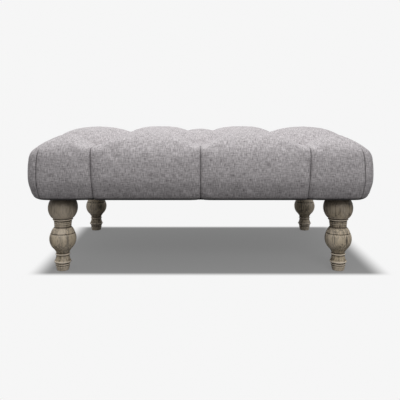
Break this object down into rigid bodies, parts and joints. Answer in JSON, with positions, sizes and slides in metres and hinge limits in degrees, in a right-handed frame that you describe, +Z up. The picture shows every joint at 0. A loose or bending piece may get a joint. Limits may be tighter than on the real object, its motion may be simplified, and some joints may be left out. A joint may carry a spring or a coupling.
{
  "type": "upholstered footstool",
  "caption": "Low rectangular footstool with a deep-buttoned, puffed fabric body padded on every side, on four turned bun-shaped timber legs.",
  "frame": {"origin": "on the floor, under the middle of the stool", "axes": "+X along the long side, +Y from the front to the back, +Z up"},
  "size_m": [0.95, 0.68, 0.3918],
  "materials": {
    "cloth": "woven melange, matt",
    "foam": "open-cell foam",
    "frame_timber": "sawn softwood",
    "deck_board": "plywood",
    "leg_timber": "weathered, limed oak",
    "lining": "spunbonded lining cloth",
    "dark_plastic": "moulded",
    "twine": "waxed tufting twine",
    "steel": "zinc plated"
  },
  "bodies": {
    "root": {"cover": "cloth", "button_caps": "cloth", "foam_block": "foam", "front_pad": "foam", "rear_pad": "foam", "left_pad": "foam", "right_pad": "foam", "front_rail": "frame_timber", "rear_rail": "frame_timber", "left_rail": "frame_timber", "right_rail": "frame_timber", "left_brace": "frame_timber", "right_brace": "frame_timber", "corner_block_front_left": "frame_timber", "corner_block_front_right": "frame_timber", "corner_block_rear_left": "frame_timber", "corner_block_rear_right": "frame_timber", "deck_panel": "deck_board", "leg_front_left": "leg_timber", "leg_front_right": "leg_timber", "leg_rear_left": "leg_timber", "leg_rear_right": "leg_timber", "dust_cover": "lining", "button_backs": "dark_plastic", "twine_toggles": "dark_plastic", "button_twines": "twine", "leg_bolts": "steel", "tee_nuts": "steel"}
  },
  "joints": []
}
